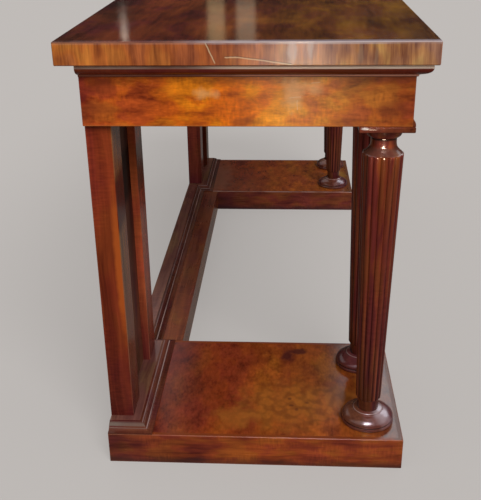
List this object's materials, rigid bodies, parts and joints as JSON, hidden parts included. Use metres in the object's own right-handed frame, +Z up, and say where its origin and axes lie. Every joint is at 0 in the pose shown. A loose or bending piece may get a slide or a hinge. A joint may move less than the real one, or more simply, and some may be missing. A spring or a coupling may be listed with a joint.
{
  "type": "pier table",
  "caption": "Long rectangular mahogany wall table. Reeded columns in front and flat pilasters behind carry a deep frieze and top, on low end plinths joined by a rear stretcher.",
  "frame": {"origin": "on the floor, under the middle of the top", "axes": "+X along the table, -Y towards the front with the columns, +Y towards the wall, +Z up"},
  "size_m": [1.83, 0.64, 0.856],
  "materials": {
    "figured_veneer": "figured mahogany veneer, French polished",
    "crossbanding": "mahogany veneer laid across the edge, French polished",
    "turned_mahogany": "turned and reeded solid mahogany, French polished",
    "straight_mahogany": "straight-grained mahogany, French polished",
    "pine": "unfinished pine, darkened with age"
  },
  "bodies": {
    "root": {"back_panel_left": "straight_mahogany", "back_panel_right": "straight_mahogany", "column_blocks": "pine", "column_caps": "turned_mahogany", "column_rings": "turned_mahogany", "column_shaft_left_inner": "turned_mahogany", "column_shaft_left_outer": "turned_mahogany", "column_shaft_right_inner": "turned_mahogany", "column_shaft_right_outer": "turned_mahogany", "frieze_back": "pine", "frieze_front": "figured_veneer", "frieze_left": "figured_veneer", "frieze_right": "figured_veneer", "glue_blocks": "pine", "ledge_left": "straight_mahogany", "ledge_middle": "straight_mahogany", "ledge_moulding_end_left": "straight_mahogany", "ledge_moulding_end_right": "straight_mahogany", "ledge_moulding_front_left": "straight_mahogany", "ledge_moulding_front_right": "straight_mahogany", "ledge_moulding_inner_left": "straight_mahogany", "ledge_moulding_inner_right": "straight_mahogany", "ledge_moulding_middle": "straight_mahogany", "ledge_right": "straight_mahogany", "pilaster_blocks": "pine", "pilaster_left_inner": "straight_mahogany", "pilaster_left_outer": "straight_mahogany", "pilaster_right_inner": "straight_mahogany", "pilaster_right_outer": "straight_mahogany", "plinth_back_left": "pine", "plinth_back_right": "pine", "plinth_front_left": "figured_veneer", "plinth_front_right": "figured_veneer", "plinth_inner_left": "figured_veneer", "plinth_inner_right": "figured_veneer", "plinth_outer_left": "figured_veneer", "plinth_outer_right": "figured_veneer", "plinth_top_left": "figured_veneer", "plinth_top_right": "figured_veneer", "stretcher": "straight_mahogany", "top_bearer_left": "pine", "top_bearer_middle": "pine", "top_bearer_right": "pine", "top_core": "pine", "top_lipping_back": "crossbanding", "top_lipping_front": "crossbanding", "top_lipping_left": "crossbanding", "top_lipping_right": "crossbanding", "top_moulding_front": "straight_mahogany", "top_moulding_left": "straight_mahogany", "top_moulding_right": "straight_mahogany", "top_veneer": "figured_veneer"}
  },
  "joints": []
}
